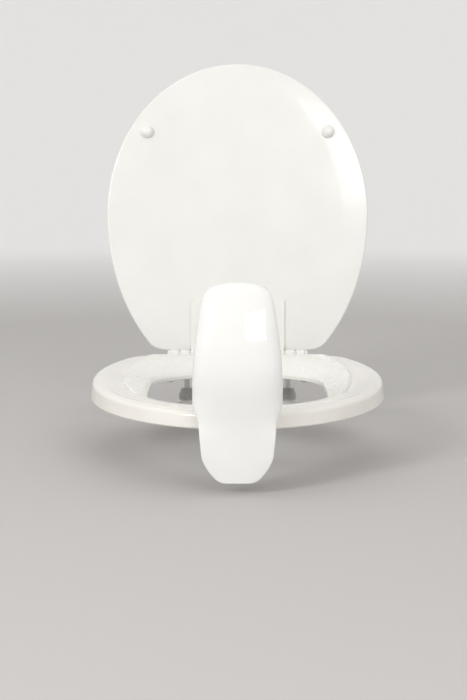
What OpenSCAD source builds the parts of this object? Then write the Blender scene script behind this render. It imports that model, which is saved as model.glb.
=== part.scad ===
// Toilet seat with lid, raised contour pad and lift-off splash guard.
// Origin: midway between the two mounting bolts, on the top of the bowl rim.
// +X to the right as seen from the front, -Y to the front, +Z up.  Millimetres.

/* [Seat ring] */
// Overall width of the ring
ring_w = 365; // [350:1:380]
// Distance from the bolt line forward to the ring's front
ring_front = 404; // [400:1:410]
// Distance from the bolt line forward to the ring's straight back edge
ring_back = 20; // [20:1:24]
// Height of the ring's outer edge at the front
ring_front_t = 17.5; // [16:0.5:22]
// Rise of the ring's top from front to back, in degrees
ring_slope = 1.47; // [1:0.01:1.6]
// Thickness of the ring's moulded walls
ring_wall = 4; // [3:0.5:5]
// Gap between the ring and the bowl, set by the ring bumpers
rim_gap = 6.5; // [6:0.5:8]
// Width of the opening
hole_w = 219; // [200:1:222]
// Distance from the bolt line to the opening's front edge
hole_front = 332; // [320:1:345]
// Distance from the bolt line to the opening's back edge
hole_back = 82; // [80:1:92]
// Width of the band around the opening over which the top dips to its edge
dish_w = 44; // [36:1:46]
// Height of the opening's edge at the front
lip_z = 20; // [19:0.5:21]

/* [Contour pad] */
// Overall width of the raised pad
pad_w = 285; // [275:1:290]
// Height of the pad above the ring
pad_t = 4; // [3:0.5:4]
// Distance from the bolt line to the pad's back edge
pad_back = 36; // [34:1:40]
// Distance from the bolt line to the pad's two front ends
pad_front = 266; // [255:1:290]

/* [Lid] */
// Overall width of the lid
lid_w = 365; // [340:1:365]
// Length of the lid panel
lid_l = 401.5; // [390:0.5:401.5]
// Thickness of the lid panel
lid_t = 12; // [10:0.5:14]
// Lean of the open lid, back from vertical, in degrees
lid_lean = 8.5; // [4:0.5:10]
// Height of the lid's underside above the hinge axis when closed
lid_rise = 15; // [15:0.5:17]
// Height of the bumpers under the lid
lid_bumper_h = 8.5; // [7:0.1:8.5]

/* [Splash guard] */
// Half width of the guard at its widest
guard_half_w = 49.6; // [46:0.1:52]
// Height of the guard's top above the bowl rim
guard_top = 167; // [150:1:168]
// Depth of the guard's bottom below the bowl rim
guard_drop = 50.5; // [40:0.5:56]
// Thickness of the guard's moulding
guard_wall = 3; // [2.5:0.25:3.5]

/* [Hinge and mounting] */
// Centre distance of the mounting bolts
bolt_spacing = 139.7; // [139:0.1:140.5]
// Diameter of the mounting bolts
bolt_d = 8; // [7:0.5:8]
// Length of the mounting bolts below the bowl rim
bolt_l = 62; // [55:1:75]
// Distance of the hinge axis behind the bolt line
hinge_y = 12; // [12:0.5:13]
// Height of the hinge axis above the bowl rim
hinge_z = 28.5; // [28:0.5:29]
// Diameter of the hinge rod
rod_d = 8; // [6:0.5:8]
// Outer diameter of the hinge barrels
barrel_d = 15; // [14:0.5:15]

/* [Hidden] */

$fn = 48;
far = 600;                      // longer than anything it cuts
fit = 0.05;                     // radial clearance of a running or pushed fit
press = 0.01;                   // radial clearance of a piece pressed on the rod
slack = 0.3;                    // clearance around a piece that sits in a pocket
half_ring = ring_w / 2;
half_hole = hole_w / 2;
white = [0.94, 0.94, 0.92];
bone = [0.90, 0.89, 0.85];
steel = [0.72, 0.73, 0.75];
rubber = [0.72, 0.72, 0.70];

// Ring plan
ring_mid_y = -174;              // where the ring is widest
ring_reach = ring_front + ring_mid_y;
ring_front_z = rim_gap + ring_front_t;
corner_a = 33;                  // angle on the ellipse where the back corner starts
corner_draw = 0.96;             // length of the corner along the back edge, over its depth
hole_arc_front = 92;            // length of the opening's front curve
hole_arc_back = 86;             // length of its back curve
lip_fall = 3;                   // how much lower the opening's edge is at the back
lip_pad_t = 3.5;                // thickness of the pad at the opening's edge
hole_wall_z = 12.5;             // bottom of the opening's wall
pad_mid_y = -165;
pad_reach = 230;

// Hinge line along X
plate_half = 64.5;              // centre barrel, on the lid
post_in = 66.5;                 // inner face of a post's barrel
post_out = 78.6;
ring_in = 81.4;                 // inner face of a ring barrel
ring_out = 92.6;
rod_half = 95;
rod_r = rod_d / 2;
bore_r = rod_r + fit;
barrel_r = barrel_d / 2;
cap_r = 6.5;
cap_wall = 1.5;
spacer_r = 6;

// Hinge posts
gasket_t = 2;
foot_half_w = 10.6;
foot_y0 = -17;
foot_y1 = 9;
foot_top = 12;
bolt_x = bolt_spacing / 2;
bolt_r = bolt_d / 2;
bolt_head_r = 7;
bolt_head_t = 4.5;
bolt_head_z = 4.5;              // underside of the bolt head, inside the foot
flange_t = 22;                  // bowl flange between the seat and the bushes
washer_r = 11;
washer_t = 1.5;
nut_top = -flange_t - 8 - washer_t;

// Screws
screw_r = 1.6;
screw_head_r = 3.6;
screw_head_t = 2.2;
leaf_t = 3.5;
leaf_in = 74;
leaf_out = 102;
leaf_y0 = -62;
leaf_screws = [[81, -36], [94, -36], [88, -52]];
peg_r = 4;                      // pegs of the pad that pass down through the ring
peg_l = 9;
pad_screw_l = 5.5;
pad_screw_head_r = 6.5;
pad_pegs = [[40, -50, 23.8], [128, -150, 17.8], [125, -225, 16.6]];   // just below the top wall
bumper_front = [95, -318];
bumper_back = [140, -110];
stem_r = 3;
stem_l = 8;
rib_t = 2.5;

// Guard hanger, from the ring outwards
bracket_half_w = 26;
bracket_back = -376;
bracket_t = 3;
flange_half_w = 10;
bracket_y = -409;               // back of the upright flange
flange_thick = 2.5;
bracket_top = 19;
bracket_screw = [16, -386];
hook_half_w = 17;
hook_t = 2;
hook_gap = 0.5;                 // clearance between hook and flange
guard_back_y = bracket_y - flange_thick - hook_gap - hook_t;
hook_screw_x = 13.5;
hook_screw_z = -6;
hook_screw_l = 4.2;
hook_leg_z = 9;
hook_foot_z = -14;

// Lid, in its own frame: hinge axis at the origin, length along -Y, top side up
lid_near = 6;                   // near edge of the panel from the hinge axis
lid_mid = 198;                  // where the lid is widest
lid_arc_near = 246;             // half length of the ellipse behind the widest line
lid_tip = lid_near + lid_l;
lid_flat = 95;                  // half length of the straight near edge
lid_corner_s = 17;
plate_proud = 2.5;
plate_half_w = 65.5;
plate_s0 = 9;
plate_s1 = 76;
lid_bumper_x = 126.5;
lid_bumper_s = 312.6;
lid_bumper_r = 9;
plate_screws = [[45, 24], [45, 60]];

// ---------------------------------------------------------------- plan outlines

// Point on a quadratic curve from a to c, pulled towards b
function bend(a, b, c, t) = (1 - t) * (1 - t) * a + 2 * t * (1 - t) * b + t * t * c;

function mirrored(pts) = concat(pts, [for (i = [len(pts) - 1 : -1 : 0]) [-pts[i].x, pts[i].y]]);

// Right half of an oval with a straight back edge, from the back edge round to the front.
// a, b: half axes; mid: y of the widest line; back: y of the back edge; start: corner angle
function oval_half(a, b, mid, back, start, inset = 0, steps = 40) =
    let (p = [(a - inset) * cos(start), mid + (b - inset) * sin(start)],
         edge = back - inset,
         knee = [p.x - (edge - p.y) * (a - inset) * sin(start) / ((b - inset) * cos(start)), edge],
         from = [knee.x - corner_draw * (edge - p.y), edge])
    concat([for (i = [0 : 5]) bend(from, knee, p, i / 5)],
           [for (i = [1 : steps]) let (t = start - (start + 90) * i / steps)
               [(a - inset) * cos(t), mid + (b - inset) * sin(t)]]);

module ring_outline(inset = 0) {
    polygon(mirrored(oval_half(half_ring, ring_reach, ring_mid_y, -ring_back, corner_a, inset)));
}

module pad_outline() {
    intersection() {
        polygon(mirrored(oval_half(pad_w / 2, pad_reach, pad_mid_y, -pad_back, corner_a)));
        translate([-far / 2, -pad_front]) square([far, pad_front]);
    }
}

// Opening: two half ellipses joined by straight sides
function hole_points(grow = 0) =
    let (front_mid = hole_arc_front - hole_front,
         back_mid = -hole_back - hole_arc_back,
         half = half_hole + grow)
    concat(
        [for (t = [0 : 9 : 180]) [half * cos(t), back_mid + (hole_arc_back + grow) * sin(t)]],
        [for (t = [180 : 9 : 360]) [half * cos(t), front_mid + (hole_arc_front + grow) * sin(t)]]);

module hole_outline(grow = 0) {
    polygon(hole_points(grow));
}

// Lid outline, length along -Y
module lid_outline() {
    a = lid_w / 2;
    corner_x = a * sqrt(1 - pow((lid_mid - lid_corner_s) / lid_arc_near, 2));
    start = asin((lid_mid - lid_corner_s) / lid_arc_near);
    near = [for (i = [0 : 5]) bend([lid_flat, -lid_near], [corner_x - 8, -lid_near],
                                   [corner_x, -lid_corner_s], i / 5)];
    behind = [for (i = [1 : 16]) let (t = start * (1 - i / 16))
        [a * cos(t), -lid_mid + lid_arc_near * sin(t)]];
    ahead = [for (i = [1 : 32]) let (t = 90 * i / 32)
        [a * cos(t), -lid_mid - (lid_tip - lid_mid) * sin(t)]];
    polygon(mirrored(concat(near, behind, ahead)));
}

// ---------------------------------------------------------------- placing

module both_sides() {
    children();
    mirror([1, 0, 0]) children();
}

module side_of(side) {
    if (side > 0) children();
    else mirror([1, 0, 0]) children();
}

// Frame of the ring's sloping top: z = 0 on the top, y measured from the bolt line
module on_ring_top() {
    translate([0, -ring_front, ring_front_z])
        rotate([ring_slope, 0, 0])
            translate([0, ring_front, 0])
                children();
}

// Everything above the ring's top, lowered by drop
module above_top(drop = 0) {
    on_ring_top() translate([-far / 2, -far, -drop]) cube([far, 2 * far, far]);
}

function top_z(y) = ring_front_z + (y + ring_front) * tan(ring_slope);

// Everything above the dip around the opening: lip and top raise its inner and outer edge.
// The dip runs a little past the top plane, so that the two cross cleanly.
module above_dish(lip = 0, top = 0) {
    past = 1;
    high = 80;
    fall = lip_fall / (hole_front - hole_back);
    inner = [for (p = hole_points(-past)) [p.x, p.y, lip_z + lip - fall * (p.y + hole_front)]];
    outer = [for (p = hole_points(dish_w + 3 * past)) [p.x, p.y, top_z(p.y) + top + past]];
    n = len(inner);
    points = concat(inner, outer, [for (p = outer) [p.x, p.y, high]]);
    sides = [for (k = [0, n]) for (i = [0 : n - 1]) let (j = (i + 1) % n)
        each [[k + i, k + n + j, k + j], [k + i, k + n + i, k + n + j]]];
    polyhedron(points, concat(sides, [[for (i = [0 : n - 1]) i], [for (i = [n - 1 : -1 : 0]) 2 * n + i]]));
}

// Frame of the lid, open
module on_lid() {
    translate([0, hinge_y, hinge_z]) rotate([-(90 + lid_lean), 0, 0]) children();
}

// Solid between x0 and x1 whose side view (y, z) is the child
module along_x(x0, x1) {
    translate([x0, 0, 0])
        rotate([90, 0, 90])
            linear_extrude(x1 - x0)
                children();
}

module rod_along_x(x0, x1, r) {
    translate([x0, 0, 0]) rotate([0, 90, 0]) cylinder(h = x1 - x0, r = r);
}

module at_hinge() {
    translate([0, hinge_y, hinge_z]) children();
}

// Screw with its head below z = 0 and its shank upwards
module screw(shank, head_r = screw_head_r) {
    translate([0, 0, -screw_head_t]) cylinder(h = screw_head_t, r = head_r);
    cylinder(h = shank, r = screw_r - fit);
}

// ---------------------------------------------------------------- mounting

// Round-ended slot that is open at the front of a post's foot
module bolt_slot(r, z0, z1) {
    translate([0, 0, z0]) linear_extrude(z1 - z0) {
        circle(r = r);
        translate([-r, foot_y0 - 1]) square([2 * r, 1 - foot_y0]);
    }
}

// Post that carries the hinge rod; its foot holds the bolt head in a T slot
module hinge_post(side) {
    color(white) side_of(side) difference() {
        union() {
            translate([bolt_x - foot_half_w, foot_y0, gasket_t])
                cube([2 * foot_half_w, foot_y1 - foot_y0, foot_top - gasket_t]);
            along_x(post_in, post_out) {
                polygon([[foot_y0 + 8, foot_top - 1], [foot_y1, foot_top - 1],
                         [hinge_y + barrel_r, hinge_z], [hinge_y - barrel_r, hinge_z + 2]]);
                translate([hinge_y, hinge_z]) circle(r = barrel_r);
            }
        }
        at_hinge() rod_along_x(post_in - 1, post_out + 1, bore_r);
        translate([bolt_x, 0, 0]) {
            bolt_slot(bolt_r + slack, gasket_t - 1, bolt_head_z + 1);
            bolt_slot(bolt_head_r + slack, bolt_head_z, bolt_head_z + bolt_head_t + slack);
        }
    }
}

module post_gasket(side) {
    color(rubber) side_of(side) translate([bolt_x, 0, 0]) difference() {
        translate([-foot_half_w, foot_y0, 0])
            cube([2 * foot_half_w, foot_y1 - foot_y0, gasket_t]);
        translate([0, 0, -1]) cylinder(h = gasket_t + 2, r = bolt_r + fit);
    }
}

module mounting_bolt(side) {
    color(white) side_of(side) translate([bolt_x, 0, 0]) {
        translate([0, 0, bolt_head_z]) cylinder(h = bolt_head_t, r = bolt_head_r);
        translate([0, 0, -bolt_l]) cylinder(h = bolt_l + bolt_head_z, r = bolt_r);
    }
}

// Tapered bush that centres the bolt in the bowl flange from below
module bolt_bush(side) {
    color(rubber) side_of(side) translate([bolt_x, 0, -flange_t])
        rotate_extrude() polygon([[bolt_r + fit, 6], [8, 6], [11, -2], [11, -8], [bolt_r + fit, -8]]);
}

module bolt_washers() {
    color(steel) both_sides() translate([bolt_x, 0, nut_top]) difference() {
        cylinder(h = washer_t, r = washer_r);
        translate([0, 0, -1]) cylinder(h = washer_t + 2, r = bolt_r + fit);
    }
}

module wing_nut(side) {
    hub_r = 8.5;
    hub_l = 11;
    wing = [11, 3.5, 14];
    color(white) side_of(side) translate([bolt_x, 0, nut_top]) difference() {
        union() {
            translate([0, 0, -hub_l]) cylinder(h = hub_l, r = hub_r);
            for (a = [0, 180])
                rotate(a) translate([hub_r - 1.5, -wing.y / 2, -hub_l - 6]) cube(wing);
        }
        translate([0, 0, -far / 2]) cylinder(h = far, r = bolt_r + fit);
    }
}

module hinge_rod() {
    color(steel) at_hinge() rod_along_x(-rod_half, rod_half, rod_r);
}

module rod_cap(side) {
    color(white) side_of(side) at_hinge() difference() {
        rod_along_x(ring_out + 0.4, rod_half + cap_wall, cap_r);
        rod_along_x(ring_out, rod_half, rod_r + press);
    }
}

module hinge_spacers() {
    color(white) both_sides() at_hinge() difference() {
        union() {
            rod_along_x(plate_half + 0.2, post_in - 0.1, spacer_r);
            rod_along_x(post_out + 0.1, ring_in - 0.2, spacer_r);
        }
        rod_along_x(plate_half, ring_in, rod_r + press);
    }
}

// ---------------------------------------------------------------- ring

// Stiffening ribs across the ring's hollow underside
module ring_ribs() {
    for (a = [10 : 20 : 350])
        translate([0, -200, 0]) rotate(a) translate([60, -rib_t / 2, 0]) cube([200, rib_t, far]);
}

module ring_bosses() {
    both_sides() {
        for (p = [bumper_front, bumper_back]) translate(p) cylinder(h = far, r = 6);
        for (p = leaf_screws) translate([p.x, p.y, rim_gap + leaf_t]) cylinder(h = far, r = 4);
        translate(bracket_screw) cylinder(h = far, r = 4.5);
    }
}

// Room around each pad screw head, clear of ribs
module peg_room() {
    both_sides() for (p = pad_pegs)
        translate([p.x, p.y, 0]) cylinder(h = far, r = pad_screw_head_r + 2.5);
}

module seat_ring() {
    color(bone) difference() {
        translate([0, 0, rim_gap]) linear_extrude(40) difference() {
            ring_outline();
            hole_outline();
        }
        above_top();
        above_dish();
        translate([0, 0, rim_gap - 1])
            linear_extrude(hole_wall_z - rim_gap + 1) hole_outline(ring_wall + 1);
        difference() {
            translate([0, 0, rim_gap - 1]) linear_extrude(50) difference() {
                ring_outline(ring_wall);
                hole_outline(ring_wall);
            }
            above_top(ring_wall);
            above_dish(-ring_wall, -ring_wall);
            difference() {
                ring_ribs();
                peg_room();
            }
            ring_bosses();
        }
        both_sides() {
            for (p = [bumper_front, bumper_back])
                translate([p.x, p.y, 0]) cylinder(h = rim_gap + stem_l + 1, r = stem_r + fit);
            for (p = leaf_screws)
                translate([p.x, p.y, 0]) cylinder(h = rim_gap + 15, r = screw_r);
            translate([bracket_screw.x, bracket_screw.y, 0]) cylinder(h = rim_gap + 11, r = screw_r);
            for (p = pad_pegs)
                translate([p.x, p.y, 0]) cylinder(h = far, r = peg_r + fit);
            translate([leaf_in - slack, leaf_y0 - slack, 0])
                cube([leaf_out - leaf_in + 2 * slack, -leaf_y0 - ring_back - ring_wall, rim_gap + leaf_t]);
            translate([ring_in - 0.5, leaf_y0, 0])
                cube([ring_out - ring_in + 1, -leaf_y0, rim_gap + 10]);
        }
    }
}

module contour_pad() {
    color(white) difference() {
        union() {
            intersection() {
                linear_extrude(far) difference() {
                    pad_outline();
                    hole_outline();
                }
                union() {
                    above_top();
                    above_dish();
                }
            }
            both_sides() for (p = pad_pegs) translate(p) cylinder(h = peg_l, r = peg_r);
        }
        above_top(-pad_t);
        above_dish(lip_pad_t, pad_t);
        both_sides() for (p = pad_pegs)
            translate([p.x, p.y, p.z - 1]) cylinder(h = peg_l - 2, r = screw_r);
    }
}

module pad_screws() {
    color(steel) both_sides() for (p = pad_pegs) translate(p) screw(pad_screw_l, pad_screw_head_r);
}

// Leaf under the ring with an arm up to the hinge rod
module ring_hinge(side) {
    color(white) side_of(side) difference() {
        union() {
            translate([leaf_in, leaf_y0, rim_gap])
                cube([leaf_out - leaf_in, -leaf_y0 - ring_back - ring_wall - 2 * slack, leaf_t]);
            along_x(ring_in, ring_out) {
                polygon([[leaf_y0 + 10, rim_gap], [-ring_back + 3, rim_gap],
                         [hinge_y + 1, hinge_z - barrel_r], [hinge_y - 4, hinge_z + 6],
                         [-ring_back, rim_gap + 10 - 0.4], [leaf_y0 + 34, rim_gap + 10 - 0.4],
                         [leaf_y0 + 26, rim_gap + leaf_t], [leaf_y0 + 10, rim_gap + leaf_t]]);
                translate([hinge_y, hinge_z]) circle(r = barrel_r);
            }
        }
        at_hinge() rod_along_x(ring_in - 1, ring_out + 1, bore_r);
        for (p = leaf_screws) translate([p.x, p.y, 0]) cylinder(h = 16, r = screw_r + 0.2);
    }
}

module ring_hinge_screws() {
    color(steel) both_sides() for (p = leaf_screws)
        translate([p.x, p.y, rim_gap]) screw(14);
}

// Oval elastomer foot with a round stem
module ring_bumper(at) {
    half_l = 7;
    r = 8;
    color(rubber) translate([at.x, at.y, 0]) {
        linear_extrude(rim_gap) {
            square([2 * r, 2 * half_l], center = true);
            for (s = [-1, 1]) translate([0, s * half_l]) circle(r = r);
        }
        translate([0, 0, rim_gap - 1]) cylinder(h = stem_l + 1, r = stem_r);
    }
}

// Plate under the ring's front whose upright tongue carries the guard
module guard_bracket() {
    bottom = rim_gap - bracket_t;
    front = bracket_y - flange_thick;
    color(steel) difference() {
        union() {
            translate([-bracket_half_w, bracket_y, bottom])
                cube([2 * bracket_half_w, bracket_back - bracket_y, bracket_t]);
            along_x(-flange_half_w, flange_half_w)
                polygon([[bracket_back, bottom], [bracket_back, rim_gap], [bracket_y, rim_gap],
                         [bracket_y, bracket_top], [front, bracket_top], [front, bottom]]);
        }
        both_sides() translate([bracket_screw.x, bracket_screw.y, 0])
            cylinder(h = 20, r = screw_r + 0.2);
    }
}

module bracket_screws() {
    color(steel) both_sides() translate([bracket_screw.x, bracket_screw.y, rim_gap - bracket_t])
        screw(12);
}

// ---------------------------------------------------------------- lid

module lid_panel() {
    color(white) on_lid() difference() {
        translate([0, 0, lid_rise]) linear_extrude(lid_t) lid_outline();
        both_sides() {
            translate([lid_bumper_x, -lid_bumper_s, lid_rise - 1])
                cylinder(h = stem_l + 1.5, r = stem_r + fit);
            for (p = plate_screws) translate([p.x, -p.y, lid_rise - 1])
                cylinder(h = 10, r = screw_r);
        }
    }
}

// Plate on the lid's underside with the long centre barrel
module lid_hinge_plate() {
    color(white) on_lid() difference() {
        union() {
            translate([-plate_half_w, -plate_s1, lid_rise - plate_proud])
                cube([2 * plate_half_w, plate_s1 - plate_s0, plate_proud]);
            along_x(-plate_half, plate_half) {
                circle(r = barrel_r);
                polygon([[0, 4], [5, barrel_r], [2, lid_rise], [-14, lid_rise],
                         [-14, lid_rise - plate_proud], [-barrel_r, 2]]);
            }
        }
        rod_along_x(-plate_half - 1, plate_half + 1, bore_r);
        both_sides() for (p = plate_screws)
            translate([p.x, -p.y, 0]) cylinder(h = 30, r = screw_r + 0.2);
    }
}

module lid_plate_screws() {
    color(steel) on_lid() both_sides() for (p = plate_screws)
        translate([p.x, -p.y, lid_rise - plate_proud]) screw(10.5);
}

// Dome-topped bumper with a stem pressed into the lid
module lid_bumper(side) {
    h = lid_bumper_h;
    r = lid_bumper_r;
    color(white) side_of(side) on_lid()
        translate([lid_bumper_x, -lid_bumper_s, lid_rise - h])
            rotate_extrude() polygon(concat(
                [[0, h + stem_l], [stem_r, h + stem_l], [stem_r, h], [r - 1.5, h], [r, h - 1.5]],
                [for (t = [0 : 10 : 90]) [r * cos(t), 4 - 4 * sin(t)]]));
}

// ---------------------------------------------------------------- guard

// The guard's outline and side view, all as functions of height z
guard_straight_z = 60;          // the sides taper above this height
guard_neck_top = 36;
guard_neck = 10;
guard_tab_z = -16;              // the tab narrows to its end below this height
tab_half_w = 42.5;
tab_taper = 2.5;                // narrowing of the tab between its neck and its end
guard_bulge = 21;               // depth of the curved shell at its middle
guard_lean = 31;                // how far the top leans back

function ease(t) = let (c = max(0, min(1, t))) c * c * (3 - 2 * c);

function guard_w(z) =
    z > guard_straight_z ?
        let (up = z - guard_straight_z, t = up / (guard_top + 0.3 - guard_straight_z))
        (guard_half_w - 0.04 * up - 0.0008 * up * up) * sqrt(1 - pow(t, 20)) :
    z > guard_neck ?
        tab_half_w + (guard_half_w - tab_half_w) * ease((z - guard_neck) / (guard_neck_top - guard_neck)) :
    z > guard_tab_z ?
        tab_half_w - tab_taper * (guard_neck - z) / (guard_neck - guard_tab_z) :
    let (t = (guard_tab_z - z) / (guard_drop + guard_tab_z))
        (tab_half_w - tab_taper) * (1 - 0.5 * pow(t, 1.9));

// Depth of the shell between its middle line and its side edges
function guard_depth(z) =
    2 + (guard_bulge - 2) * ease((z + 4) / 50) * (1 - 0.4 * ease((z - 110) / 55));

// Front surface on the middle line: bulges forward, then leans and rolls back
function guard_front(z) =
    guard_back_y - guard_wall
    - 8 * ease((z - 22) / 40)
    + guard_lean * pow(max(0, z - 40) / (guard_top - 40), 2.2);

// How far a level's middle line is in front of its point at angle u, over the level's depth
function guard_round(u) = 1 - pow(cos(u), 0.7);

// One level of the guard: front face from left to right, then the back face, which is flat
// where the hook sits
function guard_level(z, n = 10) =
    let (w = guard_w(z), d = guard_depth(z) * min(1, w / 30), y = guard_front(z),
         lift = guard_wall * (1 + 0.9 * pow(max(0, z - 60) / (guard_top - 60), 3)),
         flat_half = z < bracket_top + hook_t + 1 ? hook_half_w + 6 : 0)
    concat(
        [for (i = [-n : n]) let (u = 90 * i / n)
            [w * sin(u), y + d * guard_round(u), z]],
        [for (i = [n : -1 : -n]) let (u = 90 * i / n, x = (w - guard_wall) * sin(u))
            [x, y + lift + (abs(x) < flat_half ? 0 : (d - 1) * guard_round(u)), z]]);

guard_levels = concat(
    [for (z = [-guard_drop : 6 : 140]) z],
    [for (i = [0 : 9]) 140 + (guard_top - 140) * sin(90 * i / 9)]);

module splash_guard() {
    loops = [for (z = guard_levels) guard_level(z)];
    n = len(loops[0]);
    m = len(loops);
    points = [for (l = loops) each l];
    walls = [for (k = [0 : m - 2]) for (i = [0 : n - 1]) let (j = (i + 1) % n)
        each [[k * n + i, k * n + j, (k + 1) * n + j], [k * n + i, (k + 1) * n + j, (k + 1) * n + i]]];
    half = n / 2;
    caps = [for (i = [0 : half - 2]) each [
        [i, n - 2 - i, i + 1], [i, n - 1 - i, n - 2 - i],
        [(m - 1) * n + i, (m - 1) * n + i + 1, (m - 1) * n + n - 2 - i],
        [(m - 1) * n + i, (m - 1) * n + n - 2 - i, (m - 1) * n + n - 1 - i]]];
    color(white) difference() {
        polyhedron(points, [for (f = concat(walls, caps)) [f[2], f[1], f[0]]]);
        both_sides() at_hook_screw() cylinder(h = hook_screw_l, r = screw_r);
    }
}

// Clip behind the guard that hangs over the bracket's flange
module guard_hook() {
    leg_y = bracket_y + hook_gap;
    over = bracket_top;
    color(white) difference() {
        along_x(-hook_half_w, hook_half_w)
            polygon([[leg_y, hook_leg_z], [leg_y + hook_t, hook_leg_z],
                     [leg_y + hook_t, over + hook_t], [guard_back_y, over + hook_t],
                     [guard_back_y, hook_foot_z], [guard_back_y + hook_t, hook_foot_z],
                     [guard_back_y + hook_t, over], [leg_y, over]]);
        both_sides() at_hook_screw() translate([0, 0, -1]) cylinder(h = 4, r = screw_r + 0.2);
    }
}

// Frame of a hook screw: driven forwards from the back of the hook
module at_hook_screw() {
    translate([hook_screw_x, guard_back_y + hook_t, hook_screw_z]) rotate([90, 0, 0]) children();
}

module hook_screws() {
    color(steel) both_sides() at_hook_screw() screw(hook_screw_l - 0.1, 3);
}

hinge_post(-1);  // hinge_post_left
hinge_post(1);  // hinge_post_right
post_gasket(-1);  // post_gasket_left
post_gasket(1);  // post_gasket_right
mounting_bolt(-1);  // mounting_bolt_left
mounting_bolt(1);  // mounting_bolt_right
bolt_bush(-1);  // bolt_bush_left
bolt_bush(1);  // bolt_bush_right
bolt_washers();
wing_nut(-1);  // wing_nut_left
wing_nut(1);  // wing_nut_right
hinge_rod();
rod_cap(-1);  // rod_cap_left
rod_cap(1);  // rod_cap_right
hinge_spacers();
seat_ring();
contour_pad();
pad_screws();
ring_hinge(-1);  // ring_hinge_left
ring_hinge(1);  // ring_hinge_right
ring_hinge_screws();
ring_bumper([-bumper_front.x, bumper_front.y]);  // ring_bumper_front_left
ring_bumper(bumper_front);  // ring_bumper_front_right
ring_bumper([-bumper_back.x, bumper_back.y]);  // ring_bumper_back_left
ring_bumper(bumper_back);  // ring_bumper_back_right
guard_bracket();
bracket_screws();
lid_panel();
lid_hinge_plate();
lid_plate_screws();
lid_bumper(-1);  // lid_bumper_left
lid_bumper(1);  // lid_bumper_right
splash_guard();
guard_hook();
hook_screws();
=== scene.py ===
"""Looks of the toilet seat: ring, contour pad, open lid and lift-off splash guard, around the CAD frame.

Sizes are in millimetres, in the frame of the CAD: origin between the mounting bolts, on the bowl rim,
-Y to the front and +Z up.  A mesh is turned into metres where it is made.
"""

import math

import bmesh
import bpy
import numpy as np
from mathutils import Matrix, Vector


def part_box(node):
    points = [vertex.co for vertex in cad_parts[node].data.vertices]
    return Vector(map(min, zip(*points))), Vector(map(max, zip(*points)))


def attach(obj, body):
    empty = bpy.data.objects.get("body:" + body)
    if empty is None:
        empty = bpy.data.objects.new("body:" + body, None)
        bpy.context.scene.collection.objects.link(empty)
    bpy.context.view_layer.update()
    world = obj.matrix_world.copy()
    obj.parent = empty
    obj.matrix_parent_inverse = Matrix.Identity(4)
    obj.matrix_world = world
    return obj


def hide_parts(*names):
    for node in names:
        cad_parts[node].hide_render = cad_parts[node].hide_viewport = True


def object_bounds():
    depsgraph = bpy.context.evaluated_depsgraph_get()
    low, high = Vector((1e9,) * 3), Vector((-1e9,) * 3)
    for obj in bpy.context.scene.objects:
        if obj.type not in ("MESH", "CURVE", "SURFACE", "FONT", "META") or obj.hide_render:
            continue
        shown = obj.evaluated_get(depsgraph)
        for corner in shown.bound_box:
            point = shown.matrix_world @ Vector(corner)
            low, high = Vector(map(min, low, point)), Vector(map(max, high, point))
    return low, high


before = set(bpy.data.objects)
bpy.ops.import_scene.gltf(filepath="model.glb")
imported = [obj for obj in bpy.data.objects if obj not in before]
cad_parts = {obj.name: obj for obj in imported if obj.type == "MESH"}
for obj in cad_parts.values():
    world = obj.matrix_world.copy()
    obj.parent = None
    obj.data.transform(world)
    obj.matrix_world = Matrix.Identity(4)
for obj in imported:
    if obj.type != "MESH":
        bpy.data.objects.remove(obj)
cad_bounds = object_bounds()

MM = 0.001


def box_mm(node):
    """Lowest and highest corner of a CAD node, in millimetres."""
    low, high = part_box(node)
    return np.array(low) / MM, np.array(high) / MM


# ---------------------------------------------------------------- sizes

RING_LOW, RING_HIGH = box_mm("seat_ring")
RING_MID_Y = -174               # where the ring is widest
RING_FRONT_T = 17.5             # height of the front edge
RING_SLOPE = math.tan(math.radians(1.47))
RING_WALL = 4
RING_CROWN = 1.0
RING_DRAFT = 1.6                # how far the wall leans in from its bottom to its top
RIM_ROUND = 5.5                 # rounding of the outer top edge
LIP_WIDE = 7                    # rounding of the opening's edge, across and down
LIP_DEEP = 4
LIP_Z = 20                      # height of the opening's edge at the front
LIP_FALL = 3 / 250              # how fast it falls towards the back
DISH_WIDE = 44                  # the top dips over this width around the opening
DISH_POWER = 1.5
FOOT_ROUND = 1.2                # rounding of the bottom edges
CORNER_ANGLE = math.radians(33)
CORNER_DRAW = 0.96

HOLE_HALF_W = 109.5
HOLE_FRONT = -332
HOLE_BACK = -82
HOLE_ARC_FRONT = 92
HOLE_ARC_BACK = 86
HOLE_WALL_Z = 12.5              # bottom of the opening's wall
MIDDLE = np.array([0, -200])    # middle of the opening, where stations are counted from

PAD_HALF_W = 142.5
PAD_MID_Y = -165
PAD_REACH = 230
PAD_BACK = -36
PAD_T = 4
PAD_TIP = math.radians(-32)     # direction of the right tip
PAD_TAPER = math.radians(14)    # the horns narrow over this angle
PAD_ROUND = 3.6
PAD_SKIN = 1.0                  # how far it stands proud of the opening's wall

HINGE = np.array([0, 12, 28.5])
LID_TURN = math.radians(-98.5)  # from closed to open, about the hinge
LID_HALF_W = 182.5
LID_NEAR = 6
LID_TIP = 407.5
LID_MID = 198
LID_ARC_NEAR = 246
LID_FLAT = 95
LID_CORNER = 17
LID_Z = 15                      # underside, above the hinge axis when closed
LID_T = 12
LID_BUMPER_X = 126.5
LID_BUMPER_S = 312.6
LID_BUMPER_R = 9
LID_BUMPER_H = 8.5

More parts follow.
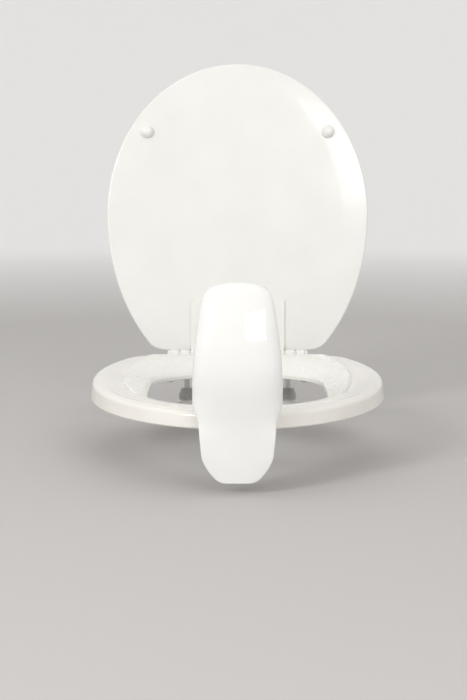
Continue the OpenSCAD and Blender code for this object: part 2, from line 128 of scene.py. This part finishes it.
GUARD_LOW, GUARD_HIGH = box_mm("splash_guard")
GUARD_BACK = -414
GUARD_WALL = 3
GUARD_HALF_W = 49.6
GUARD_TAB_HALF_W = 42.5
GUARD_ROLL = 15                 # height over which the top rolls back
GUARD_ROLL_BACK = 11
GUARD_ROLL_TURN = 0.92          # how much of the quarter turn the roll completes
GUARD_END_ROUND = 5             # rounding of the bottom corners
GUARD_STRAIGHT_Z = 60           # the sides taper above this height
GUARD_NECK_Z = 10               # the shell narrows to the tab over NECK_H above this height
GUARD_NECK_H = 26
GUARD_TAB_Z = -16               # the tab rounds off to its end below this height
GUARD_TAIL_H = 34.5
GUARD_TAB_TAPER = 2.5           # narrowing of the tab between its neck and its end
GUARD_STEP = 8                  # how far the shell stands in front of the tab
GUARD_LEAN = 31                 # how far the top leans back
GUARD_LEAN_Z = 40               # the lean starts at this height

RIB_HALF_T = 1.25
RIB_STEP = 20                   # degrees between ribs

CAMERA_LENS = 72.51
CAMERA_SHIFT = -0.0057
CAMERA_PLACE = (0, -1.923, 0.3138)
CAMERA_DIP = math.radians(8.185)
FLOOR_GAP = 2                   # floor below the lowest point
FLOOR_FLAT = 1800
FLOOR_CURVE_X = 3200            # middle of the sweep's curve, from the origin
FLOOR_CURVE_R = 1500
FLOOR_WALL_TOP = 4200

# ---------------------------------------------------------------- meshes


def loft(loops, around=True, over=False):
    """Vertices and quads between loops of equal length.

    around joins each loop's end to its start; over joins the last loop to the first.
    """
    count = len(loops[0])
    rows = len(loops)
    faces = []
    for r in range(rows if over else rows - 1):
        for i in range(count if around else count - 1):
            j = (i + 1) % count
            s = (r + 1) % rows
            faces.append((r * count + i, r * count + j, s * count + j, s * count + i))
    return np.vstack(loops), faces


def join(parts):
    """One list of vertices and faces from several."""
    verts = []
    faces = []
    for points, quads in parts:
        start = sum(len(v) for v in verts)
        verts.append(points)
        faces += [tuple(start + i for i in face) for face in quads]
    return np.vstack(verts), faces


def lathe(profile, steps=48):
    """Surface of revolution about Z through (radius, height) points, with its ends closed."""
    turn = np.linspace(0, 2 * math.pi, steps, endpoint=False)
    loops = [np.c_[r * np.cos(turn), r * np.sin(turn), np.full(steps, z)] for r, z in profile]
    verts, faces = loft(loops)
    last = (len(profile) - 1) * steps
    faces.append(tuple(range(steps))[::-1])
    faces.append(tuple(range(last, last + steps)))
    return verts, faces


def moved(part, matrix):
    """The part's vertices taken through a 4 by 4 matrix."""
    verts, faces = part
    full = np.c_[verts, np.ones(len(verts))] @ np.array(matrix).T
    return full[:, :3], faces


def make(name, part, material, body, stands_for=(), sharp=35):
    """Object from vertices in millimetres, smooth except at edges sharper than the given angle."""
    verts, faces = part
    mesh = bpy.data.meshes.new(name)
    mesh.from_pydata((verts * MM).tolist(), [], faces)
    work = bmesh.new()
    work.from_mesh(mesh)
    bmesh.ops.remove_doubles(work, verts=work.verts, dist=1e-6)
    bmesh.ops.recalc_face_normals(work, faces=work.faces)
    for face in work.faces:
        face.smooth = True
    work.to_mesh(mesh)
    work.free()
    mesh.set_sharp_from_angle(angle=math.radians(sharp))
    mesh.materials.append(material)
    obj = bpy.data.objects.new(name, mesh)
    bpy.context.scene.collection.objects.link(obj)
    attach(obj, body)
    if stands_for:
        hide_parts(*stands_for)
    return obj


def bevel(obj, width, segments=3, angle=40):
    """Rounds the edges sharper than angle, width in millimetres."""
    mod = obj.modifiers.new("Bevel", "BEVEL")
    mod.width = width * MM
    mod.segments = segments
    mod.limit_method = "ANGLE"
    mod.angle_limit = math.radians(angle)
    mod.harden_normals = True
    return mod


# ---------------------------------------------------------------- outlines


def bend(a, b, c, t):
    """Point on a quadratic curve from a to c, pulled towards b."""
    return (1 - t) ** 2 * a + 2 * t * (1 - t) * b + t * t * c


def mirrored(half):
    """Closed outline from its right half, which runs from the back to the front."""
    return np.vstack([half, half[::-1] * [-1, 1]])


def oval(a, b, mid, back):
    """Oval with a straight back edge and soft back corners."""
    c, s = math.cos(CORNER_ANGLE), math.sin(CORNER_ANGLE)
    end = np.array([a * c, mid + b * s])
    rise = back - end[1]
    knee = np.array([end[0] - rise * a * s / (b * c), back])
    start = np.array([knee[0] - CORNER_DRAW * rise, back])
    corner = bend(start, knee, end, np.linspace(0, 1, 400)[:, None])
    turn = np.linspace(CORNER_ANGLE, -math.pi / 2, 1500)[1:]
    return mirrored(np.vstack([corner, np.c_[a * np.cos(turn), mid + b * np.sin(turn)]]))


def opening():
    """Two half ellipses joined by straight sides."""
    back = np.linspace(math.pi / 2, 0, 900)
    front = np.linspace(0, -math.pi / 2, 900)
    back_mid = HOLE_BACK - HOLE_ARC_BACK
    front_mid = HOLE_FRONT + HOLE_ARC_FRONT
    return mirrored(np.vstack([
        np.c_[HOLE_HALF_W * np.cos(back), back_mid + HOLE_ARC_BACK * np.sin(back)],
        np.c_[HOLE_HALF_W * np.cos(front), front_mid + HOLE_ARC_FRONT * np.sin(front)],
    ]))


def along(outline, count):
    """Closed outline as evenly spaced points."""
    closed = np.vstack([outline, outline[:1]])
    run = np.r_[0, np.cumsum(np.linalg.norm(np.diff(closed, axis=0), axis=1))]
    at = np.linspace(0, run[-1], count, endpoint=False)
    return np.c_[np.interp(at, run, closed[:, 0]), np.interp(at, run, closed[:, 1])]


def towards(outline, angles):
    """Points of a closed outline in the given directions from MIDDLE."""
    away = along(outline, 20000) - MIDDLE
    turn = np.arctan2(away[:, 1], away[:, 0])
    order = np.argsort(turn)
    reach = np.interp(angles, turn[order], np.hypot(*away.T)[order], period=2 * math.pi)
    return MIDDLE + reach[:, None] * np.c_[np.cos(angles), np.sin(angles)]


def inset(loop, distance, closed=True):
    """The counter-clockwise loop moved inwards, or outwards if distance is negative."""
    if closed:
        ahead = np.roll(loop, -1, 0) - np.roll(loop, 1, 0)
    else:
        ahead = np.gradient(loop, axis=0)
    length = np.linalg.norm(ahead, axis=1)
    return loop + np.c_[-ahead[:, 1] / length, ahead[:, 0] / length] * np.reshape(distance, (-1, 1))


def ease(t):
    """Smooth step from 0 to 1."""
    t = np.clip(t, 0, 1)
    return t * t * (3 - 2 * t)


def ring_top(y):
    """Height of the ring's sloping top."""
    return RING_LOW[2] + RING_FRONT_T + RING_SLOPE * (y - RING_LOW[1])


def dished(y, inward):
    """Height of the ring's top at a distance from the opening, where it dips to the lip."""
    lip = LIP_Z - LIP_FALL * (y - HOLE_FRONT)
    t = np.clip(inward / DISH_WIDE, 0, 1)
    return lip + (ring_top(y) - lip) * (1 - (1 - t) ** DISH_POWER)


# ---------------------------------------------------------------- materials


def node_tree(name):
    """New material, its node tree and its Principled shader."""
    material = bpy.data.materials.new(name)
    material.use_nodes = True
    tree = material.node_tree
    return material, tree, tree.nodes["Principled BSDF"]


def add(tree, kind, **sockets):
    """New shader node with its sockets set; an output is linked, anything else is a value."""
    node = tree.nodes.new(kind)
    for key, value in sockets.items():
        socket = node.inputs[key.replace("_", " ")]
        if isinstance(value, bpy.types.NodeSocket):
            tree.links.new(value, socket)
        else:
            socket.default_value = value
    return node


def grain(tree, scale, detail=4):
    """Noise in the object's own space, about 0.5 on average."""
    place = add(tree, "ShaderNodeTexCoord").outputs["Object"]
    return add(tree, "ShaderNodeTexNoise", Vector=place, Scale=scale, Detail=detail).outputs["Fac"]


def between(tree, factor, low, high):
    """Value that runs from low to high as the factor goes from 0.3 to 0.7."""
    node = add(tree, "ShaderNodeMapRange", Value=factor)
    node.inputs["From Min"].default_value = 0.3
    node.inputs["From Max"].default_value = 0.7
    node.inputs["To Min"].default_value = low
    node.inputs["To Max"].default_value = high
    return node.outputs["Result"]


def tint(tree, factor, dark, light):
    """Colour between two colours."""
    ramp = tree.nodes.new("ShaderNodeValToRGB")
    ramp.color_ramp.elements[0].position = 0.32
    ramp.color_ramp.elements[0].color = (*dark, 1)
    ramp.color_ramp.elements[1].position = 0.68
    ramp.color_ramp.elements[1].color = (*light, 1)
    tree.links.new(factor, ramp.inputs["Fac"])
    return ramp.outputs["Color"]


def bumps(tree, shader, layers):
    """Chains bump layers of (height, strength, depth in millimetres) into the shader."""
    normal = None
    for height, strength, depth in layers:
        node = add(tree, "ShaderNodeBump", Height=height, Strength=strength, Distance=depth * MM)
        if normal:
            tree.links.new(normal, node.inputs["Normal"])
        normal = node.outputs["Normal"]
    tree.links.new(normal, shader.inputs["Normal"])


def plastic(name, colour, gloss=0.25, coat=0.3, peel=0.02):
    """Moulded plastic: faint clouding, uneven gloss, orange peel and fine scuffs."""
    material, tree, shader = node_tree(name)
    colour = np.array(colour)
    shader.inputs["Base Color"].default_value = (*colour, 1)
    tree.links.new(tint(tree, grain(tree, 14), colour * 0.972, np.minimum(colour * 1.012, 1)),
                   shader.inputs["Base Color"])
    tree.links.new(between(tree, grain(tree, 60, 8), gloss * 0.8, gloss * 1.25),
                   shader.inputs["Roughness"])
    shader.inputs["IOR"].default_value = 1.5
    shader.inputs["Coat Weight"].default_value = coat
    shader.inputs["Coat Roughness"].default_value = 0.06
    bumps(tree, shader, [(grain(tree, 160, 2), peel, 0.25), (grain(tree, 1400, 3), peel * 0.6, 0.04)])
    return material


def steel(name):
    """Plated steel with fine turned scratches and a little tarnish."""
    material, tree, shader = node_tree(name)
    tree.links.new(tint(tree, grain(tree, 90), (0.52, 0.52, 0.53), (0.66, 0.66, 0.66)),
                   shader.inputs["Base Color"])
    place = add(tree, "ShaderNodeTexCoord").outputs["Object"]
    stretch = add(tree, "ShaderNodeMapping", Vector=place)
    stretch.inputs["Scale"].default_value = (1, 12, 12)
    lines = add(tree, "ShaderNodeTexNoise", Vector=stretch.outputs["Vector"], Scale=300).outputs["Fac"]
    tree.links.new(between(tree, lines, 0.22, 0.42), shader.inputs["Roughness"])
    shader.inputs["Metallic"].default_value = 1
    bumps(tree, shader, [(lines, 0.15, 0.03)])
    return material


def rubber(name, colour):
    """Matt elastomer with fine moulded grain."""
    material, tree, shader = node_tree(name)
    colour = np.array(colour)
    tree.links.new(tint(tree, grain(tree, 40), colour * 0.85, colour * 1.15), shader.inputs["Base Color"])
    tree.links.new(between(tree, grain(tree, 220, 8), 0.55, 0.8), shader.inputs["Roughness"])
    bumps(tree, shader, [(grain(tree, 900, 5), 0.3, 0.08)])
    return material


LID_WHITE = plastic("lid_white", (0.83, 0.83, 0.80), gloss=0.2)
PAD_WHITE = plastic("pad_white", (0.82, 0.82, 0.78), gloss=0.24)
RING_BONE = plastic("ring_bone", (0.82, 0.80, 0.75), gloss=0.2)
GUARD_WHITE = plastic("guard_white", (0.86, 0.86, 0.84), gloss=0.1, coat=0.6, peel=0.015)
BUMPER_WHITE = plastic("bumper_white", (0.84, 0.84, 0.80), gloss=0.16)
HINGE_WHITE = plastic("hinge_white", (0.84, 0.84, 0.80), gloss=0.3)
STEEL = steel("fastener_steel")
RUBBER = rubber("foot_rubber", (0.50, 0.50, 0.48))

# ---------------------------------------------------------------- camera, floor and lights


def studio():
    """Camera, two soft boxes in front, a soft top light, a cyclorama with a painted glow that grows away
    from the object, and a sky dimmer above.
    """
    scene = bpy.context.scene
    camera = bpy.data.cameras.new("camera")
    camera.lens = CAMERA_LENS
    camera.shift_x = CAMERA_SHIFT
    view = bpy.data.objects.new("camera", camera)
    view.location = CAMERA_PLACE
    view.rotation_euler = (math.pi / 2 - CAMERA_DIP, 0, 0)
    scene.collection.objects.link(view)
    scene.camera = view

    floor_z = cad_bounds[0][2] / MM - FLOOR_GAP
    profile = [(1, floor_z), (FLOOR_FLAT / 3, floor_z), (FLOOR_FLAT, floor_z)]
    for a in np.linspace(-math.pi / 2, 0, 16):
        profile.append((FLOOR_CURVE_X + FLOOR_CURVE_R * math.cos(a),
                        floor_z + FLOOR_CURVE_R * (1 + math.sin(a))))
    profile.append((FLOOR_CURVE_X + FLOOR_CURVE_R, floor_z + FLOOR_WALL_TOP))
    turn = np.linspace(0, 2 * math.pi, 96, endpoint=False)
    verts, faces = loft([np.c_[r * np.cos(turn), r * np.sin(turn), np.full(96, z)] for r, z in profile])
    faces.append(tuple(range(96)))
    mesh = bpy.data.meshes.new("floor")
    mesh.from_pydata((verts * MM).tolist(), [], faces)
    mesh.shade_smooth()
    # Painted light: the floor and its rising wall glow, and turn a little paler, the farther they lie from
    # the object's middle, so they stay darker near it.
    material, tree, shader = node_tree("floor_painted_glow")
    place = add(tree, "ShaderNodeTexCoord").outputs["Object"]
    away = add(tree, "ShaderNodeVectorMath")
    away.operation = "LENGTH"
    tree.links.new(place, away.inputs[0])
    glow_by_distance = add(tree, "ShaderNodeMapRange", Value=away.outputs["Value"])
    glow_by_distance.inputs["From Min"].default_value = 1.2
    glow_by_distance.inputs["From Max"].default_value = 3.4
    glow_by_distance.inputs["To Min"].default_value = 0.32
    glow_by_distance.inputs["To Max"].default_value = 0.68
    tree.links.new(tint(tree, glow_by_distance.outputs["Result"], (0.51, 0.495, 0.485), (0.53, 0.525, 0.52)),
                   shader.inputs["Base Color"])
    # Painted glow: emission that is nothing near the object and grows with distance from it.
    tree.links.new(tint(tree, glow_by_distance.outputs["Result"], (0, 0, 0), (0.32, 0.315, 0.31)),
                   shader.inputs["Emission Color"])
    shader.inputs["Emission Strength"].default_value = 1
    shader.inputs["Roughness"].default_value = 0.85
    mesh.materials.append(material)
    floor = bpy.data.objects.new("floor", mesh)
    scene.collection.objects.link(floor)

    for name, place, size, power, colour in (
        ("left", (-1.41, -1.78, 1.12), (0.5, 0.6), 18, (1, 0.995, 0.98)),
        ("right", (0.825, -2.19, 1.13), (1.1, 0.5), 10, (1, 0.995, 0.985)),
        ("top", (0, 0.1, 2.3), (1.8, 1.8), 2.5, (1, 0.998, 0.995)),
    ):
        lamp = bpy.data.lights.new(name, "AREA")
        lamp.shape = "RECTANGLE"
        lamp.size, lamp.size_y = size
        lamp.energy = power
        lamp.color = colour
        light = bpy.data.objects.new(name, lamp)
        light.location = place
        aim = Vector((0, -0.2, 0.15)) - Vector(place)
        light.rotation_euler = aim.to_track_quat("-Z", "Y").to_euler()
        scene.collection.objects.link(light)

    world = bpy.data.worlds.new("studio")
    world.use_nodes = True
    tree = world.node_tree
    sky = tree.nodes["Background"]
    sky.inputs["Color"].default_value = (1, 0.998, 0.995, 1)
    direction = add(tree, "ShaderNodeTexCoord").outputs["Generated"]
    height = add(tree, "ShaderNodeSeparateXYZ", Vector=direction).outputs["Z"]
    dimmer = add(tree, "ShaderNodeMapRange", Value=height)
    dimmer.inputs["To Min"].default_value = 1.22
    dimmer.inputs["To Max"].default_value = 0.7
    tree.links.new(dimmer.outputs["Result"], sky.inputs["Strength"])
    scene.world = world
    scene.view_settings.view_transform = "Standard"


studio()

# ---------------------------------------------------------------- seat ring


def quarter(steps=7):
    """Pairs (1 - cos, 1 - sin) round a quarter turn, from the side up to the top."""
    return [(1 - math.cos(a), 1 - math.sin(a)) for a in np.linspace(0, math.pi / 2, steps)]


def ring_surface():
    """Closed hollow moulding: wall of the opening, lip, crowned top, rim, outer wall, underside."""
    angles = np.linspace(-math.pi, math.pi, 288, endpoint=False)
    outer = towards(oval(RING_HIGH[0], RING_MID_Y - RING_LOW[1], RING_MID_Y, RING_HIGH[1]), angles)
    hole = towards(opening(), angles)
    bottom = RING_LOW[2]
    loops = []

    def layer(xy, height):
        loops.append(np.c_[xy, np.broadcast_to(height, len(xy))])

    def layer_top(xy, drop):
        layer(xy, ring_top(xy[:, 1]) - drop)

    def layer_dish(inward, drop):
        xy = inset(hole, -inward)
        layer(xy, dished(xy[:, 1], inward) - drop)

    layer(inset(hole, -RING_WALL), HOLE_WALL_Z)
    for wide, deep in quarter(4):
        layer(inset(hole, -FOOT_ROUND * (1 - wide)), HOLE_WALL_Z + FOOT_ROUND * (1 - deep))
    for wide, deep in quarter():
        layer_dish(LIP_WIDE * wide, LIP_DEEP * deep)
    for inward in np.linspace(LIP_WIDE, DISH_WIDE, 9)[1:]:
        layer_dish(inward, 0)
    inner_edge = inset(hole, -DISH_WIDE)
    outer_edge = inset(outer, RIM_ROUND + RING_DRAFT)
    for t in np.linspace(0, 1, 6)[1:-1]:
        layer_top(inner_edge + (outer_edge - inner_edge) * t, -RING_CROWN * 4 * t * (1 - t))
    for wide, deep in quarter()[::-1]:
        layer_top(inset(outer, RIM_ROUND * wide + RING_DRAFT), RIM_ROUND * deep)
    for wide, deep in quarter(4)[::-1]:
        layer(inset(outer, FOOT_ROUND * (1 - wide)), bottom + FOOT_ROUND * (1 - deep))
    inner_wall = inset(outer, RING_WALL)
    layer(inner_wall, bottom)
    layer_top(inset(inner_wall, RING_DRAFT), RING_WALL + 2)
    layer_top(inset(inner_wall, RING_DRAFT + 2), RING_WALL)
    for inward in np.linspace(DISH_WIDE - 4, RING_WALL, 6):
        layer_dish(inward, RING_WALL)
    return loft(loops, over=True)


def ring_ribs():
    """Radial plates across the hollow underside."""
    angles = np.radians(np.arange(RIB_STEP / 2, 360, RIB_STEP))
    outer = towards(oval(RING_HIGH[0], RING_MID_Y - RING_LOW[1], RING_MID_Y, RING_HIGH[1]), angles)
    hole = towards(opening(), angles)
    parts = []
    for turn, far, near in zip(angles, outer, hole):
        way = np.array([math.cos(turn), math.sin(turn)])
        side = np.array([-way[1], way[0]]) * RIB_HALF_T
        ends = [near + way * (RING_WALL - 1), far - way * (RING_WALL - 0.5)]
        loops = []
        for t in np.linspace(0, 1, 9):
            spot = ends[0] + (ends[1] - ends[0]) * t
            inward = np.linalg.norm(spot - near)
            roof = dished(spot[1], inward) - RING_WALL + 0.5
            floor = RING_LOW[2] + 1.5 + (HOLE_WALL_Z - RING_LOW[2]) * (1 - ease(inward / 14))
            loops.append([np.r_[spot - side, floor], np.r_[spot + side, floor],
                          np.r_[spot + side, roof], np.r_[spot - side, roof]])
        verts, faces = loft([np.array(loop) for loop in loops])
        last = 4 * (len(loops) - 1)
        parts.append((verts, faces + [(3, 2, 1, 0), (last, last + 1, last + 2, last + 3)]))
    return join(parts)


ring = make("seat_ring_moulding", ring_surface(), RING_BONE, "seat", ["seat_ring"])
ribs = make("seat_ring_ribs", ring_ribs(), RING_BONE, "seat")
bevel(ribs, 0.5, 2)

# ---------------------------------------------------------------- contour pad


def pad_surface():
    """Horseshoe that follows the dip, wraps over the opening's edge and fades out at its two tips."""
    angles = np.linspace(PAD_TIP, math.pi - PAD_TIP, 260)
    hole = towards(opening(), angles)
    outline = towards(oval(PAD_HALF_W, PAD_REACH, PAD_MID_Y, PAD_BACK), angles)
    from_tip = np.minimum(angles - angles[0], angles[-1] - angles) / PAD_TAPER
    narrow = np.sqrt(1 - (1 - np.clip(from_tip, 0, 1)) ** 2)[:, None]
    full = ease(from_tip * 1.3)
    sunk = 0.8 * (1 - full)
    lip = inset(hole, -LIP_WIDE, closed=False)
    outer = lip + (outline - lip) * narrow
    band = np.linalg.norm(outer - lip, axis=1)
    out = (outline - lip) / np.linalg.norm(outline - lip, axis=1)[:, None]
    edge_w = np.minimum(PAD_ROUND, band * 0.5)
    loops = []

    def layer(xy, height):
        loops.append(np.c_[xy, np.broadcast_to(height, len(xy))])

    def layer_band(width, rise):
        """width is measured outwards from the lip."""
        xy = lip + out * width[:, None]
        layer(xy, dished(xy[:, 1], LIP_WIDE + width) + rise)

    def layer_lip(inward, rise):
        xy = inset(hole, -inward, closed=False)
        layer(xy, dished(xy[:, 1], np.maximum(inward, 0)) + rise)

    skin = PAD_SKIN * full - 0.6 * (1 - full)
    for width in (0, 0.5, 0.9):
        layer_band(band * width, -1.2)
    for wide, deep in quarter():
        layer_band(band - edge_w * wide, (PAD_T * (1 - deep) - 0.2) * full - sunk)
    for t in np.linspace(1, 0, 14)[1:-1]:
        layer_band((band - edge_w) * t, PAD_T * full - sunk)
    for wide, deep in quarter(9)[::-1]:
        inward = LIP_WIDE * wide - skin * (1 - wide)
        layer_lip(inward, PAD_T * full - sunk - (LIP_DEEP + 0.5) * deep)
    floor = HOLE_WALL_Z + 0.4
    layer(inset(hole, skin, closed=False), floor + 0.6)
    layer(inset(hole, skin - 0.6, closed=False), floor)
    layer(inset(hole, -2.5, closed=False), floor)
    layer_lip(3.5 * np.ones(len(hole)), -4)
    verts, faces = loft(loops, around=False, over=True)
    count = len(angles)
    ends = [r * count for r in range(len(loops))]
    faces.append(tuple(ends))
    faces.append(tuple(i + count - 1 for i in ends)[::-1])
    return verts, faces


make("contour_pad_moulding", pad_surface(), PAD_WHITE, "seat", ["contour_pad"])

# ---------------------------------------------------------------- lid

ON_LID = Matrix.Translation(HINGE) @ Matrix.Rotation(LID_TURN, 4, "X")


def lid_outline():
    """The lid seen from above, closed, with the hinge axis at the top."""
    start = math.asin((LID_MID - LID_CORNER) / LID_ARC_NEAR)
    corner_x = LID_HALF_W * math.cos(start)
    near = bend(np.array([LID_FLAT, -LID_NEAR]), np.array([corner_x - 8, -LID_NEAR]),
                np.array([corner_x, -LID_CORNER]), np.linspace(0, 1, 24)[:, None])
    behind = np.linspace(start, 0, 60)[1:]
    ahead = np.linspace(0, math.pi / 2, 120)[1:]
    return mirrored(np.vstack([
        near,
        np.c_[LID_HALF_W * np.cos(behind), -LID_MID + LID_ARC_NEAR * np.sin(behind)],
        np.c_[LID_HALF_W * np.cos(ahead), -LID_MID - (LID_TIP - LID_MID) * np.sin(ahead)],
    ]))


def lid_surface():
    """Panel with a tight edge below and a softer one on top, both faces very slightly crowned."""
    outline = along(lid_outline(), 280)[::-1]
    under_round = 2.6
    top_round = 5.5
    loops = []

    def layer(distance, z, shrink=1):
        xy = inset(outline, distance)
        middle = xy.mean(0)
        loops.append(np.c_[middle + (xy - middle) * shrink, np.full(len(xy), z)])

    for shrink in (0.05, 0.3, 0.55, 0.8):
        layer(under_round, LID_Z + 0.5 * (1 - shrink ** 2), shrink)
    for wide, deep in quarter()[::-1]:
        layer(under_round * wide, LID_Z + under_round * deep)
    for wide, deep in quarter(9):
        layer(top_round * wide, LID_Z + LID_T - top_round * deep)
    for shrink in (0.8, 0.55, 0.3, 0.05):
        layer(top_round, LID_Z + LID_T + 1.2 * (1 - shrink ** 2), shrink)
    verts, faces = loft(loops)
    count = len(outline)
    last = (len(loops) - 1) * count
    faces.append(tuple(range(count)))
    faces.append(tuple(range(last, last + count))[::-1])
    return verts, faces


def lid_bumper():
    """Ball-topped button on a thin flange, its top towards -Z of the lid."""
    power = 2.3
    profile = [(LID_BUMPER_R * abs(math.cos(a)) ** (2 / power), -LID_BUMPER_H * math.sin(a) ** (2 / power))
               for a in np.linspace(0, math.pi / 2 - 0.02, 16)]
    return lathe([(LID_BUMPER_R - 0.4, 1), (LID_BUMPER_R, 0.2)] + profile, 40)


make("lid_shell", moved(lid_surface(), ON_LID), LID_WHITE, "lid", ["lid_panel"])
for side, x in (("left", -LID_BUMPER_X), ("right", LID_BUMPER_X)):
    place = ON_LID @ Matrix.Translation((x, -LID_BUMPER_S, LID_Z))
    make("lid_button_" + side, moved(lid_bumper(), place), BUMPER_WHITE, "lid",
         ["lid_bumper_" + side])

# ---------------------------------------------------------------- splash guard


def guard_half_width(z):
    """Half width of the guard at height z."""
    top = GUARD_HIGH[2] + 0.3
    up = np.clip(z - GUARD_STRAIGHT_Z, 0, None)
    round_off = np.sqrt(1 - (up / (top - GUARD_STRAIGHT_Z)) ** 20)
    shell = (GUARD_HALF_W - 0.04 * up - 0.0008 * up ** 2) * round_off
    wider = GUARD_HALF_W - GUARD_TAB_HALF_W
    neck = GUARD_TAB_HALF_W + wider * ease((z - GUARD_NECK_Z) / GUARD_NECK_H)
    tab = GUARD_TAB_HALF_W - GUARD_TAB_TAPER * (GUARD_NECK_Z - z) / GUARD_NECK_H
    below = np.clip(GUARD_TAB_Z - z, 0, None) / GUARD_TAIL_H
    tail = (GUARD_TAB_HALF_W - GUARD_TAB_TAPER) * (1 - 0.5 * below ** 1.9)
    end = np.clip((GUARD_LOW[2] + GUARD_END_ROUND - z) / GUARD_END_ROUND, 0, 1)
    tail = tail - GUARD_END_ROUND * (1 - np.sqrt(1 - end ** 2))
    return np.select([z > GUARD_STRAIGHT_Z, z > GUARD_NECK_Z, z > GUARD_TAB_Z], [shell, neck, tab], tail)


def guard_depth(z):
    """How far the sides lie behind the middle line at height z."""
    return 2 + 19 * ease((z + 4) / 50) * (1 - 0.4 * ease((z - 110) / 55))


def guard_front(z):
    """The middle line of the front face: a bulge forwards, a lean back, and the rolled top."""
    top = GUARD_HIGH[2]
    roll = np.clip((z - top + GUARD_ROLL) / GUARD_ROLL, 0, 1)
    lean = np.clip(z - GUARD_LEAN_Z, 0, None) / 127
    return (GUARD_BACK - GUARD_WALL - GUARD_STEP * ease((z - 2) / 80)
            + GUARD_LEAN * lean ** 2.2
            + GUARD_ROLL_BACK * (1 - np.sqrt(1 - (GUARD_ROLL_TURN * roll) ** 2)))


def guard_surface():
    """Front face as an open sheet; a modifier gives it its wall."""
    low, top = GUARD_LOW[2], GUARD_HIGH[2]
    middle = 120
    ends = 1 - np.cos(np.linspace(0, math.pi / 2, 8))
    tips = np.sin(np.linspace(0, math.pi / 2, 30))
    heights = np.r_[low + GUARD_END_ROUND * ends,
                    np.linspace(low + GUARD_END_ROUND, middle, 60)[1:],
                    middle + (top - 0.05 - middle) * tips[1:]]
    turn = np.linspace(-math.pi / 2, math.pi / 2, 61)
    loops = []
    for z in heights:
        w = guard_half_width(np.array(z))
        depth = guard_depth(z) * min(1, w / 30)
        y = guard_front(z) + depth * (1 - np.cos(turn) ** 0.7)
        loops.append(np.c_[w * np.sin(turn), y, np.full(len(turn), z)])
    return loft(loops, around=False)


guard = make("splash_guard_shell", guard_surface(), GUARD_WHITE, "guard", ["splash_guard"])
wall = guard.modifiers.new("Wall", "SOLIDIFY")
wall.thickness = GUARD_WALL * MM
wall.offset = -1
wall.use_even_offset = True
bevel(guard, 0.9, 3, 50)

# ---------------------------------------------------------------- CAD hardware that stays


def dress(node, material, width):
    """Gives a CAD node its finish and rounded edges."""
    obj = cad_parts[node]
    obj.data.materials.clear()
    obj.data.materials.append(material)
    weld = obj.modifiers.new("Weld", "WELD")
    weld.merge_threshold = 1e-5
    bevel(obj, width)


for side in ("left", "right"):
    dress("hinge_post_" + side, HINGE_WHITE, 0.8)
    dress("post_gasket_" + side, RUBBER, 0.4)
    dress("mounting_bolt_" + side, HINGE_WHITE, 0.6)
    dress("bolt_bush_" + side, RUBBER, 0.6)
    dress("wing_nut_" + side, HINGE_WHITE, 0.8)
    dress("rod_cap_" + side, HINGE_WHITE, 0.8)
    dress("ring_hinge_" + side, HINGE_WHITE, 0.7)
    for end in ("front_", "back_"):
        dress("ring_bumper_" + end + side, RUBBER, 1.2)
dress("lid_hinge_plate", HINGE_WHITE, 0.7)
dress("guard_bracket", STEEL, 0.4)
dress("guard_hook", GUARD_WHITE, 0.5)
dress("hinge_spacers", HINGE_WHITE, 0.3)
dress("hinge_rod", STEEL, 0.5)
dress("bolt_washers", STEEL, 0.3)
for node in ("pad_screws", "ring_hinge_screws", "bracket_screws", "lid_plate_screws", "hook_screws"):
    dress(node, STEEL, 0.4)
